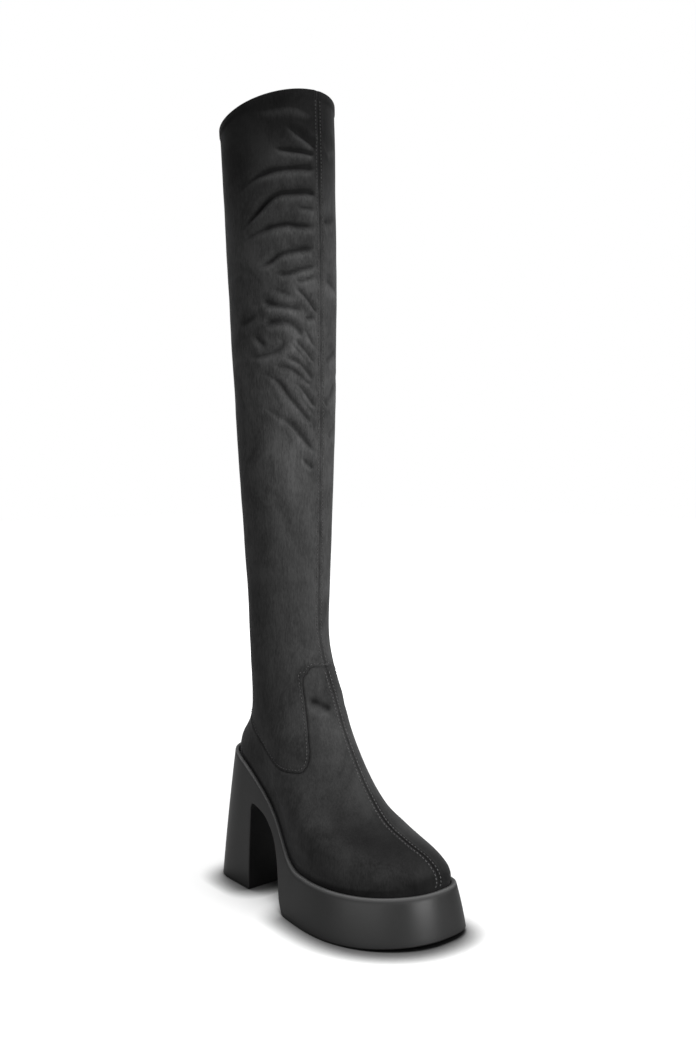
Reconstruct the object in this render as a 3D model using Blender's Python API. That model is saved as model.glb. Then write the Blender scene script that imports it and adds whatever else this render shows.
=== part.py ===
"""Right over-the-knee platform boot: moulded sole unit, foot upper, stretch shaft and insole.

Sizes are millimetres and become metres where the meshes are made. Tables count x from the back of the
heel toward the toe, y toward the inner (medial) side of the foot and z up from the floor.
"""
import math

import bpy
import numpy as np

MM = 0.001

# Place of the finished boot: these move the tables' zero to the middle of the boot's box.
ORIGIN_X = 120.9
ORIGIN_Y = -3.09

# Fits and walls
FIT_GAP = 0.3
BED_GAP = 0.5
INSOLE_GAP = 1.0
WALL = 2.0
INSOLE_THICK = 3.0

# Rim of the sole unit: a narrow ledge round a shallow cup that holds the upper
RIM_WIDTH = 3.0
RIM_DEPTH = 6.0

# Narrow turned hem at the collar
HEM_HEIGHT = 6.0
HEM_STEP = 0.6
HEM_EDGE = 0.6

# Heel breast and tread
BREAST_FOOT_X = 59.3
BREAST_TOP_X = 61.8
BREAST_TOP_Z = 70.0
GROOVE_WIDTH = 4.0
GROOVE_DEPTH = 2.5
GROOVE_BORDER = 7.0
CUTTER_REACH = 80.0
CUTTER_DROP = 10.0

# Toe spring: the sole's front lifts off the floor past the ball
SPRING_START_X = 175.0
SPRING_RUN = 68.5
SPRING_RISE = 3.5

# Steps of the meshes
SOLE_STEPS = 96
INSOLE_STEPS = 72
UPPER_STEPS = 56
UPPER_ROWS = 18
SHAFT_ROWS = 20
ARCH_STEPS = 22
SLOPE_STEP = 0.01


def table(columns, *rows):
    """Columns of a table by name; the first column is the one that the others are read along."""
    return {name: np.array(values, float) for name, values in zip(columns.split(), zip(*rows))}


# Plan of the rim: half widths before the two ends are rounded, and the curved centre line of a right foot
RIM_PLAN = table(
    "station lateral medial centre",
    (0, 30.0, 30.0, 0.0),
    (40, 32.5, 32.5, 0.0),
    (65, 34.0, 32.5, 0.0),
    (100, 37.0, 33.5, -0.5),
    (130, 42.0, 40.5, -2.5),
    (168, 45.7, 45.7, -3.8),
    (205, 45.7, 45.7, 1.0),
    (240, 45.7, 45.7, 13.0))
# Plan of the print on the floor, wider than the rim because the sides flare
FLOOR_PLAN = table(
    "station lateral medial centre",
    (0, 29.0, 29.0, 0.0),
    (30, 33.0, 33.0, 0.0),
    (60, 35.6, 34.6, 0.0),
    (100, 43.0, 39.5, -0.5),
    (130, 48.5, 47.0, -2.5),
    (168, 51.8, 51.8, -3.8),
    (205, 51.8, 51.8, 1.0),
    (244, 51.8, 51.8, 13.5))
# Where each plan ends, over what run its ends are rounded, and how square the rounding is
PLAN_ENDS = {
    "rim": {"heel": 18.0, "toe": 236.8, "heel_run": 32.0, "toe_run": 69.0, "heel_power": 2.3, "toe_power": 2.5},
    "floor": {"heel": 0.5, "toe": 243.5, "heel_run": 26.0, "toe_run": 75.0, "heel_power": 2.5, "toe_power": 2.5}}

# Side view: the rim's height and the arch between heel and forefoot
RIM_SIDE = table(
    "station height",
    (0, 115.0), (25, 114.0), (41, 110.0), (55, 102.5), (72, 91.0), (88, 78.5), (99, 67.0),
    (108, 55.5), (119, 43.5), (130, 37.8), (145, 36.3), (170, 36.2), (205, 36.8), (243, 38.5))
ARCH_SIDE = table(
    "station height",
    (63.5, 74.6), (72, 72.6), (88, 64.0), (100, 48.5), (107, 30.0), (112, 12.0), (117, 3.5), (126, -1.5))
# Rows of grooves across the tread
TREAD = table("start pitch count", (12.5, 14.0, 3), (138.0, 13.5, 8))

# Rings of the upper and shaft from the cup's floor to the collar. Each ring runs from a point on the front
# ridge to a point on the back line; sag is its share of the sole line's dip, the runs are how far from
# either end it takes to reach its full half widths, ridge is how far its middle lies on the ridge's line.
RINGS = table(
    "level front_x front_z back_x back_z sag front_run front_lat front_med back_run back_lat back_med ridge",
    (0, 233.3, 32.4, 21.4, 109.4, 1.00, 66.0, 42.4, 42.4, 29.0, 29.0, 29.0, 0.00),
    (1, 233.3, 39.0, 21.4, 116.0, 1.00, 66.0, 42.4, 42.4, 29.0, 29.0, 29.0, 0.00),
    (2, 234.0, 44.5, 21.2, 119.0, 0.95, 68.0, 43.6, 42.0, 30.0, 30.0, 30.0, 0.12),
    (3, 231.5, 52.0, 21.6, 122.5, 0.88, 69.0, 44.2, 40.5, 32.0, 31.2, 31.2, 0.25),
    (4, 222.5, 60.8, 22.6, 126.5, 0.74, 70.0, 44.5, 39.5, 34.0, 32.5, 31.5, 0.45),
    (5, 206.0, 68.8, 24.8, 131.3, 0.56, 70.0, 44.0, 37.5, 36.0, 33.5, 31.5, 0.70),
    (6, 183.0, 80.5, 28.8, 137.8, 0.36, 68.0, 42.5, 33.5, 38.0, 34.5, 30.5, 0.90),
    (7, 160.5, 104.5, 32.6, 145.0, 0.18, 64.0, 40.0, 29.5, 40.0, 35.0, 29.0, 1.00),
    (8, 140.0, 135.5, 34.8, 154.0, 0.06, 56.0, 37.5, 27.5, 42.0, 35.5, 28.0, 1.00),
    (9, 123.3, 168.5, 35.2, 168.0, 0.00, 46.0, 35.5, 27.0, 42.0, 35.5, 27.5, 1.00),
    (10, 110.5, 196.0, 34.2, 186.0, 0.00, 38.2, 34.5, 27.0, 38.2, 34.5, 27.0, 1.00),
    (11, 104.5, 221.0, 32.2, 212.0, 0.00, 36.3, 33.5, 28.0, 36.3, 33.5, 28.0, 1.00),
    (12, 104.2, 265.0, 28.6, 254.0, 0.00, 37.8, 33.8, 30.3, 37.8, 33.8, 30.3, 1.00),
    (13, 105.7, 340.0, 22.0, 327.0, 0.00, 41.8, 36.6, 34.8, 41.8, 36.6, 34.8, 1.00),
    (14, 106.8, 425.0, 14.6, 410.0, 0.00, 46.1, 39.0, 39.0, 46.1, 39.0, 39.0, 1.00),
    (15, 105.8, 540.0, 6.6, 522.0, 0.00, 49.6, 42.0, 42.7, 49.6, 42.0, 42.7, 1.00),
    (16, 102.5, 655.5, -1.0, 632.5, 0.00, 51.7, 44.0, 44.0, 51.7, 44.0, 44.0, 1.00))
FRONT_ROUND = table("level power", (0, 2.5), (1, 2.5), (3, 2.35), (5, 2.0), (7, 1.9), (10, 1.95), (12, 2.0), (16, 2.0))
BACK_POWER = 2.15
RIDGE_LINE = table("station centre", (0, 4.5), (110, 4.5), (170, 3.5), (205, 6.0), (240, 13.0))
RIM_LEVEL = 1.0
PLAN_LEVELS = 4.0
COLLAR_LEVEL = 16.0

# Seam between foot upper and shaft by the angle from the front: the shaft dips into a lobe on each side
SEAM = table(
    "angle level",
    (0, 9.80), (30, 9.68), (40, 9.30), (46, 8.40), (52, 7.60), (60, 7.15), (75, 6.85), (95, 6.70),
    (110, 6.60), (122, 6.80), (136, 7.20), (155, 7.50), (180, 7.60))

LOOKS = {
    "sole_unit": ((0.016, 0.016, 0.017), 0.45),
    "foot_upper": ((0.018, 0.018, 0.019), 0.85),
    "shaft": ((0.020, 0.020, 0.021), 0.85),
    "insole": ((0.030, 0.029, 0.028), 0.80)}


def along(rows, column, at):
    """Smooth curve through one column of a table; each row's slope is set by its neighbours."""
    stations = next(iter(rows.values()))
    values = rows[column]
    spans = np.diff(stations)
    rises = np.diff(values) / spans
    slopes = np.concatenate((
        rises[:1],
        (rises[:-1] * spans[1:] + rises[1:] * spans[:-1]) / (spans[:-1] + spans[1:]),
        rises[-1:]))
    at = np.clip(at, stations[0], stations[-1])
    row = np.clip(np.searchsorted(stations, at) - 1, 0, len(spans) - 1)
    span = spans[row]
    part = (at - stations[row]) / span
    rest = 1.0 - part
    return (values[row] * rest * rest * (1.0 + 2.0 * part)
            + values[row + 1] * part * part * (3.0 - 2.0 * part)
            + span * part * rest * (slopes[row] * rest - slopes[row + 1] * part))


def rounded(run, power):
    """Rounded end: 0 at the tip, 1 where the run is over."""
    left = 1.0 - np.clip(run, 0.0, 1.0)
    return (1.0 - left ** power) ** (1.0 / power)


def turns(steps):
    """Angles once round, from the front by the lateral side."""
    return np.arange(steps) * 2.0 * math.pi / steps


def toe_spring(x):
    """Height of the sole's underside over the floor."""
    return SPRING_RISE * np.clip((x - SPRING_START_X) / SPRING_RUN, 0.0, None) ** 2


def plan_edges(plan, ends, inset, x):
    """Lateral and medial edge of a plan at a station, drawn in by inset."""
    cap = (rounded((ends["toe"] - inset - x) / (ends["toe_run"] - inset), ends["toe_power"])
           * rounded((x - ends["heel"] - inset) / (ends["heel_run"] - inset), ends["heel_power"]))
    middle = along(plan, "centre", x)
    lateral = middle - (along(plan, "lateral", x) - inset) * cap
    medial = middle + (along(plan, "medial", x) - inset) * cap
    return lateral, medial


def plan_loop(plan, ends, inset, angle):
    """Plan points of a loop drawn in by inset."""
    heel = ends["heel"] + inset
    toe = ends["toe"] - inset
    x = heel + (toe - heel) * (1.0 + np.cos(angle)) / 2.0
    lateral, medial = plan_edges(plan, ends, inset, x)
    return x, np.where(np.sin(angle) >= 0.0, lateral, medial)


def rim_loop(inset, rise, steps):
    """Loop along the rim's line, drawn in by inset and moved up by rise."""
    x, y = plan_loop(RIM_PLAN, PLAN_ENDS["rim"], inset, turns(steps))
    return np.stack((x, y, along(RIM_SIDE, "height", x) + rise), axis=-1)


def floor_loop(steps):
    """Loop of the print on the floor, lifted by the toe spring."""
    x, y = plan_loop(FLOOR_PLAN, PLAN_ENDS["floor"], 0.0, turns(steps))
    return np.stack((x, y, toe_spring(x)), axis=-1)


def outer_face(angle, level):
    """Outer face of the boot above the sole: angle 0 on the front ridge, half a turn on the back line."""
    ring = {name: along(RINGS, name, level) for name in RINGS}
    share = (1.0 - np.cos(angle)) / 2.0
    x = ring["front_x"] + (ring["back_x"] - ring["front_x"]) * share
    z = ring["front_z"] + (ring["back_z"] - ring["front_z"]) * share
    first = {name: values[0] for name, values in RINGS.items()}
    bed_x = first["front_x"] + (first["back_x"] - first["front_x"]) * share
    bed_z = along(RIM_SIDE, "height", bed_x) - RIM_DEPTH + BED_GAP
    z = z + ring["sag"] * (bed_z - first["front_z"] - (first["back_z"] - first["front_z"]) * share)
    front = ring["front_x"] - x
    back = x - ring["back_x"]
    cap = (rounded(front / ring["front_run"], along(FRONT_ROUND, "power", level))
           * rounded(back / ring["back_run"], BACK_POWER))
    room = np.maximum(ring["front_x"] - ring["back_x"] - ring["front_run"] - ring["back_run"], FIT_GAP)
    mix = np.clip((front - ring["front_run"]) / room, 0.0, 1.0)
    mix = mix * mix * (3.0 - 2.0 * mix)
    plan = np.clip((RIM_LEVEL + PLAN_LEVELS - level) / PLAN_LEVELS, 0.0, 1.0)
    middle = along(RIM_PLAN, "centre", x)
    middle = middle + (along(RIDGE_LINE, "centre", x) - middle) * ring["ridge"]
    half = {}
    for side, short in (("lateral", "lat"), ("medial", "med")):
        own = ring["front_" + short] + (ring["back_" + short] - ring["front_" + short]) * mix
        half[side] = (own + (along(RIM_PLAN, side, x) - RIM_WIDTH - FIT_GAP - own) * plan) * cap
    y = np.where(np.sin(angle) >= 0.0, middle - half["lateral"], middle + half["medial"])
    return np.stack((x, y, z), axis=-1)


def outward(angle, level):
    """Unit normal of the outer face."""
    low = np.maximum(level - SLOPE_STEP, 0.0)
    high = np.minimum(level + SLOPE_STEP, COLLAR_LEVEL)
    climb = outer_face(angle, high) - outer_face(angle, low)
    turn = outer_face(angle + SLOPE_STEP, level) - outer_face(angle - SLOPE_STEP, level)
    normal = np.cross(climb, turn)
    return normal / np.linalg.norm(normal, axis=-1, keepdims=True)


def seam_level(angle):
    """Level of the seam between foot upper and shaft, the same on both sides."""
    fold = np.degrees(np.abs((angle + math.pi) % (2.0 * math.pi) - math.pi))
    return along(SEAM, "level", fold)


def seam_gap(angle):
    """Difference in level that leaves the fit's gap square to the seam."""
    level = seam_level(angle)
    run = (outer_face(angle + SLOPE_STEP, seam_level(angle + SLOPE_STEP))
           - outer_face(angle - SLOPE_STEP, seam_level(angle - SLOPE_STEP)))
    run = run / np.linalg.norm(run, axis=-1, keepdims=True)
    climb = (outer_face(angle, level + SLOPE_STEP) - outer_face(angle, level - SLOPE_STEP)) / (2.0 * SLOPE_STEP)
    square = climb - run * np.sum(climb * run, axis=-1, keepdims=True)
    return FIT_GAP / np.linalg.norm(square, axis=-1)


def bands(lower, upper, steps):
    """Faces between two loops of the same number of points, given by their first indices."""
    return [(lower + k, upper + k, upper + (k + 1) % steps, lower + (k + 1) % steps) for k in range(steps)]


def lid(first, steps, up):
    """Faces that close a loop by strips from its lateral to its medial points."""
    half = steps // 2
    faces = [(first, first + steps - 1, first + 1)]
    for k in range(1, half - 1):
        faces.append((first + k + 1, first + k, first + steps - k, first + steps - k - 1))
    faces.append((first + half, first + half - 1, first + half + 1))
    return faces if up else [face[::-1] for face in faces]


def solid(name, points, faces):
    """Named object with its own material, from points in millimetres."""
    placed = (np.asarray(points) - (ORIGIN_X, ORIGIN_Y, 0.0)) * MM
    mesh = bpy.data.meshes.new(name)
    mesh.from_pydata(placed.tolist(), [], faces)
    mesh.update()
    item = bpy.data.objects.new(name, mesh)
    bpy.context.scene.collection.objects.link(item)
    return item


def finish(item, crease):
    """Gives an object its look and smooth shading up to a crease angle."""
    colour, roughness = LOOKS[item.name]
    material = bpy.data.materials.new(item.name)
    material.use_nodes = True
    shader = material.node_tree.nodes["Principled BSDF"]
    shader.inputs["Base Color"].default_value = (*colour, 1.0)
    shader.inputs["Roughness"].default_value = roughness
    item.data.materials.append(material)
    item.data.shade_smooth()
    item.data.set_sharp_from_angle(angle=crease)


def wall_piece(name, levels, angle, raised):
    """Closed wall between the outer face and its offset; a row of levels for each ring of points."""
    normals = outward(angle, levels)
    face = outer_face(angle, levels)
    outside = face + normals * raised[:, None, None]
    inside = face - normals * WALL
    rows, steps = levels.shape
    points = np.concatenate((outside.reshape(-1, 3), inside.reshape(-1, 3)))
    inner = rows * steps
    faces = []
    for row in range(rows - 1):
        faces += bands(row * steps, (row + 1) * steps, steps)
        faces += [ring[::-1] for ring in bands(inner + row * steps, inner + (row + 1) * steps, steps)]
    faces += bands(inner, 0, steps)
    faces += bands((rows - 1) * steps, inner + (rows - 1) * steps, steps)
    return solid(name, points, faces)


def foot_upper():
    """Vamp and counter: from the cup's floor to the seam."""
    angle = turns(UPPER_STEPS)
    climb = np.linspace(0.0, 1.0, UPPER_ROWS)[:, None]
    levels = RIM_LEVEL + (seam_level(angle) - RIM_LEVEL) * climb
    levels = np.concatenate((np.zeros((1, UPPER_STEPS)), levels))
    angles = np.broadcast_to(angle, levels.shape)
    return wall_piece("foot_upper", levels, angles, np.zeros(len(levels)))


def shaft():
    """Stretch shaft: from the seam to the sloped collar, with the turned hem as a step in its wall."""
    angle = turns(UPPER_STEPS)
    per_level = RINGS["front_z"][-1] - RINGS["front_z"][-2]
    hem = COLLAR_LEVEL - HEM_HEIGHT / per_level
    low = seam_level(angle) + seam_gap(angle)
    climb = np.linspace(0.0, 1.0, SHAFT_ROWS)[:, None]
    levels = low + (hem - low) * climb
    tops = np.array([[hem + HEM_EDGE / per_level], [COLLAR_LEVEL]])
    levels = np.concatenate((levels, np.broadcast_to(tops, (2, UPPER_STEPS))))
    angles = np.broadcast_to(angle, levels.shape)
    raised = np.concatenate((np.zeros(SHAFT_ROWS), (HEM_STEP, HEM_STEP)))
    return wall_piece("shaft", levels, angles, raised)


def sole_unit():
    """Moulded platform and block heel with a rim, a cup for the upper, an arch and a grooved tread."""
    loops = (
        floor_loop(SOLE_STEPS),
        rim_loop(0.0, 0.0, SOLE_STEPS),
        rim_loop(RIM_WIDTH, 0.0, SOLE_STEPS),
        rim_loop(RIM_WIDTH, -RIM_DEPTH, SOLE_STEPS))
    faces = lid(0, SOLE_STEPS, False)
    for k in range(len(loops) - 1):
        faces += bands(k * SOLE_STEPS, (k + 1) * SOLE_STEPS, SOLE_STEPS)
    faces += lid((len(loops) - 1) * SOLE_STEPS, SOLE_STEPS, True)
    item = solid("sole_unit", np.concatenate(loops), faces)
    cut(item, arch_cutter())
    cut(item, tread_cutter())
    return item


def insole():
    """Insole on the cup's floor, inside the upper's wall."""
    inset = RIM_WIDTH + FIT_GAP + WALL + INSOLE_GAP
    bottom = rim_loop(inset, BED_GAP - RIM_DEPTH, INSOLE_STEPS)
    top = bottom + (0.0, 0.0, INSOLE_THICK)
    faces = lid(0, INSOLE_STEPS, False) + bands(0, INSOLE_STEPS, INSOLE_STEPS) + lid(INSOLE_STEPS, INSOLE_STEPS, True)
    return solid("insole", np.concatenate((bottom, top)), faces)


def block(near, far, first):
    """Points and faces of a closed block between two loops; near turns so that it faces far."""
    count = len(near)
    faces = [range(first + count - 1, first - 1, -1), range(first + count, first + 2 * count)]
    for k in range(count):
        after = (k + 1) % count
        faces.append((first + k, first + after, first + after + count, first + k + count))
    return near + far, [tuple(face) for face in faces]


def arch_cutter():
    """Opening between the heel's breast and the back of the forefoot."""
    stations = np.linspace(ARCH_SIDE["station"][0], ARCH_SIDE["station"][-1], ARCH_STEPS)
    profile = [(BREAST_FOOT_X, -CUTTER_DROP), (BREAST_TOP_X, BREAST_TOP_Z)]
    profile += list(zip(stations, along(ARCH_SIDE, "height", stations)))
    profile.append((stations[-1], -CUTTER_DROP))
    points, faces = block(
        [(x, -CUTTER_REACH, z) for x, z in profile],
        [(x, CUTTER_REACH, z) for x, z in profile], 0)
    return solid("arch_cutter", points, faces)


def tread_cutter():
    """Grooves across the tread of heel and forefoot, closed by a plain border."""
    points = []
    faces = []
    for start, pitch, count in zip(TREAD["start"], TREAD["pitch"], TREAD["count"]):
        for back in start + pitch * np.arange(count):
            sides = np.array((back, back + GROOVE_WIDTH))
            lateral, medial = plan_edges(FLOOR_PLAN, PLAN_ENDS["floor"], GROOVE_BORDER, sides)
            corners = list(zip(sides, lateral)) + list(zip(sides[::-1], medial[::-1]))
            top = toe_spring(back) + GROOVE_DEPTH
            more_points, more_faces = block(
                [(x, y, -CUTTER_DROP) for x, y in corners],
                [(x, y, top) for x, y in corners], len(points))
            points += more_points
            faces += more_faces
    return solid("tread_cutter", points, faces)


def cut(item, cutter):
    """Takes a cutter's form out of an object."""
    cutter.hide_render = True
    cutter.display_type = "WIRE"
    step = item.modifiers.new(cutter.name, "BOOLEAN")
    step.operation = "DIFFERENCE"
    step.solver = "EXACT"
    step.object = cutter


def main():
    for item in list(bpy.data.objects):
        bpy.data.objects.remove(item, do_unlink=True)
    finish(sole_unit(), math.radians(30.0))
    finish(foot_upper(), math.radians(50.0))
    finish(shaft(), math.radians(50.0))
    finish(insole(), math.radians(50.0))


main()
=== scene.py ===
"""Looks of the right over-the-knee platform boot: suede, moulded sole, lining and stitches.

Sizes are millimetres and become metres where the meshes are made. As in the part's source, the
tables count x from the back of the heel toward the toe, y toward the inner side of the foot and
z up from the floor.
"""
import functools
import math

import bmesh
import bpy
import numpy as np
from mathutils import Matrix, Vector, noise


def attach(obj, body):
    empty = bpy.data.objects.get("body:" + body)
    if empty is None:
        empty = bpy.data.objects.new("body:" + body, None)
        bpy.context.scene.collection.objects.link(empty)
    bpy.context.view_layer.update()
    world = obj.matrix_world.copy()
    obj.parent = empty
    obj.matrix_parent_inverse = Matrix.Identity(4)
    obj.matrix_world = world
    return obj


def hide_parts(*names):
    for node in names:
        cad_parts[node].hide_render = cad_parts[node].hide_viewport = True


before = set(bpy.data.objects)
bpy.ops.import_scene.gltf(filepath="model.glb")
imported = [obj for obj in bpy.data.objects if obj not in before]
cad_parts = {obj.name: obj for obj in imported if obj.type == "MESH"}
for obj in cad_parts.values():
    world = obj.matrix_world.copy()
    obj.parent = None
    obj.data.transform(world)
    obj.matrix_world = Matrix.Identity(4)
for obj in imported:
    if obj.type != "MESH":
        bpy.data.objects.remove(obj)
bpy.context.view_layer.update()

MM = 0.001
FULL_TURN = 2.0 * math.pi
ORIGIN_X = 120.9
ORIGIN_Y = -3.09

# Fits and walls of the solids
FIT_GAP = 0.3
BED_GAP = 0.5
INSOLE_GAP = 1.0
WALL = 2.0
INSOLE_THICK = 3.0
RIM_WIDTH = 3.0
RIM_DEPTH = 6.0

# Turned hem at the collar: the suede stands proud outside and reaches down inside to the lining
HEM_HEIGHT = 6.0
HEM_STEP = 0.6
HEM_EDGE = 0.8
HEM_INSIDE = 16.0
LIP_STEPS = 8

# Thickness of the suede, and of the lining behind it
SUEDE_THICK = 1.2
LINING_GAP = 0.1
LINING_THICK = 0.6

# Heel breast, tread and toe spring
BREAST_FOOT_X = 59.3
BREAST_TOP_X = 61.8
BREAST_TOP_Z = 70.0
GROOVE_WIDTH = 4.0
GROOVE_DEPTH = 2.5
GROOVE_BORDER = 7.0
# How near a station counts as lying on a groove's edge
GROOVE_SLACK = 0.3
SPRING_START_X = 175.0
SPRING_RUN = 68.5
SPRING_RISE = 3.5

# Slight swell of the sole's side, and its rounded edges, each with its share of the rounding
SIDE_SWELL = 0.6
EDGE_ROUND = 2.0
EDGE_SEGMENTS = 3
EDGE_ANGLE = math.radians(28.0)
SHARE_FLOOR = 0.6
SHARE_RIM = 0.5
SHARE_BREAST = 0.45
SHARE_ARCH = 0.3
SHARE_CUP = 0.3
SHARE_GROOVE = 0.2

# Steps of the meshes
SLOPE_STEP = 0.01
FRONT_DEGREES = 8.0
FRONT_COLUMNS = 14
FRONT_GRADE = 1.6
COLUMN_SPANS = (
    (FRONT_DEGREES, 36.0, 18), (36.0, 56.0, 19), (56.0, 110.0, 30), (110.0, 180.0, 16))
UPPER_ROWS = 96
ANKLE_ROWS = 60
CALF_ROWS = 44
KNEE_ROWS = 220
ANKLE_TOP_LEVEL = 11.0
CALF_TOP_LEVEL = 13.0
EDGE_GRADE = 1.5
INNER_STRIDE = 3
SOLE_TURN = math.radians(2.2)
BAND_ROWS = 8
HEEL_ROWS = 24
ARCH_COLUMNS = 30
CURVE_SAMPLES = 400
SETTLE_STEPS = 20


def table(columns, *rows):
    """Columns of a table by name; the first column is the one that the others are read along."""
    return {name: np.array(values, float) for name, values in zip(columns.split(), zip(*rows))}


# Form of the boot, the same as in the part's source
PLANS = {}
PLANS["rim"] = table(
    "station lateral medial centre",
    (0, 30.0, 30.0, 0.0),
    (40, 32.5, 32.5, 0.0),
    (65, 34.0, 32.5, 0.0),
    (100, 37.0, 33.5, -0.5),
    (130, 42.0, 40.5, -2.5),
    (168, 45.7, 45.7, -3.8),
    (205, 45.7, 45.7, 1.0),
    (240, 45.7, 45.7, 13.0))
PLANS["floor"] = table(
    "station lateral medial centre",
    (0, 29.0, 29.0, 0.0),
    (30, 33.0, 33.0, 0.0),
    (60, 35.6, 34.6, 0.0),
    (100, 43.0, 39.5, -0.5),
    (130, 48.5, 47.0, -2.5),
    (168, 51.8, 51.8, -3.8),
    (205, 51.8, 51.8, 1.0),
    (244, 51.8, 51.8, 13.5))
PLAN_ENDS = {
    "rim": dict(heel=18.0, toe=236.8, heel_run=32.0, toe_run=69.0, heel_power=2.3, toe_power=2.5),
    "floor": dict(heel=0.5, toe=243.5, heel_run=26.0, toe_run=75.0, heel_power=2.5, toe_power=2.5)}
RIM_SIDE = table(
    "station height",
    (0, 115.0), (25, 114.0), (41, 110.0), (55, 102.5), (72, 91.0), (88, 78.5), (99, 67.0),
    (108, 55.5), (119, 43.5), (130, 37.8), (145, 36.3), (170, 36.2), (205, 36.8), (243, 38.5))
ARCH_SIDE = table(
    "station height",
    (63.5, 74.6), (72, 72.6), (88, 64.0), (100, 48.5),
    (107, 30.0), (112, 12.0), (117, 3.5), (126, -1.5))
TREAD = {"heel": (12.5, 14.0, 3), "forefoot": (138.0, 13.5, 8)}
RINGS = table(
    "level front_x front_z back_x back_z sag "
    "front_run front_lat front_med back_run back_lat back_med ridge",
    (0, 233.3, 32.4, 21.4, 109.4, 1.00, 66.0, 42.4, 42.4, 29.0, 29.0, 29.0, 0.00),
    (1, 233.3, 39.0, 21.4, 116.0, 1.00, 66.0, 42.4, 42.4, 29.0, 29.0, 29.0, 0.00),
    (2, 234.0, 44.5, 21.2, 119.0, 0.95, 68.0, 43.6, 42.0, 30.0, 30.0, 30.0, 0.12),
    (3, 231.5, 52.0, 21.6, 122.5, 0.88, 69.0, 44.2, 40.5, 32.0, 31.2, 31.2, 0.25),
    (4, 222.5, 60.8, 22.6, 126.5, 0.74, 70.0, 44.5, 39.5, 34.0, 32.5, 31.5, 0.45),
    (5, 206.0, 68.8, 24.8, 131.3, 0.56, 70.0, 44.0, 37.5, 36.0, 33.5, 31.5, 0.70),
    (6, 183.0, 80.5, 28.8, 137.8, 0.36, 68.0, 42.5, 33.5, 38.0, 34.5, 30.5, 0.90),
    (7, 160.5, 104.5, 32.6, 145.0, 0.18, 64.0, 40.0, 29.5, 40.0, 35.0, 29.0, 1.00),
    (8, 140.0, 135.5, 34.8, 154.0, 0.06, 56.0, 37.5, 27.5, 42.0, 35.5, 28.0, 1.00),
    (9, 123.3, 168.5, 35.2, 168.0, 0.00, 46.0, 35.5, 27.0, 42.0, 35.5, 27.5, 1.00),
    (10, 110.5, 196.0, 34.2, 186.0, 0.00, 38.2, 34.5, 27.0, 38.2, 34.5, 27.0, 1.00),
    (11, 104.5, 221.0, 32.2, 212.0, 0.00, 36.3, 33.5, 28.0, 36.3, 33.5, 28.0, 1.00),
    (12, 104.2, 265.0, 28.6, 254.0, 0.00, 37.8, 33.8, 30.3, 37.8, 33.8, 30.3, 1.00),
    (13, 105.7, 340.0, 22.0, 327.0, 0.00, 41.8, 36.6, 34.8, 41.8, 36.6, 34.8, 1.00),
    (14, 106.8, 425.0, 14.6, 410.0, 0.00, 46.1, 39.0, 39.0, 46.1, 39.0, 39.0, 1.00),
    (15, 105.8, 540.0, 6.6, 522.0, 0.00, 49.6, 42.0, 42.7, 49.6, 42.0, 42.7, 1.00),
    (16, 102.5, 655.5, -1.0, 632.5, 0.00, 51.7, 44.0, 44.0, 51.7, 44.0, 44.0, 1.00))
FRONT_ROUND = table(
    "level power",
    (0, 2.5), (1, 2.5), (3, 2.35), (5, 2.0), (7, 1.9), (10, 1.95), (12, 2.0), (16, 2.0))
BACK_POWER = 2.15
RIDGE_LINE = table("station centre", (0, 4.5), (110, 4.5), (170, 3.5), (205, 6.0), (240, 13.0))
RIM_LEVEL = 1.0
PLAN_LEVELS = 4.0
MIX_RUN = 45.0
COLLAR_LEVEL = 16.0
SEAM = table(
    "angle level",
    (0, 9.80), (30, 9.68), (40, 9.30), (46, 8.40), (52, 7.60), (60, 7.15), (75, 6.85), (95, 6.70),
    (110, 6.60), (122, 6.80), (136, 7.20), (155, 7.50), (180, 7.60))

# Height of the topmost level, and of the rounded lip of the hem
LEVEL_HEIGHT = RINGS["front_z"][-1] - RINGS["front_z"][-2]
HEM_LIP = (SUEDE_THICK + HEM_STEP) / 2.0

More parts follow.
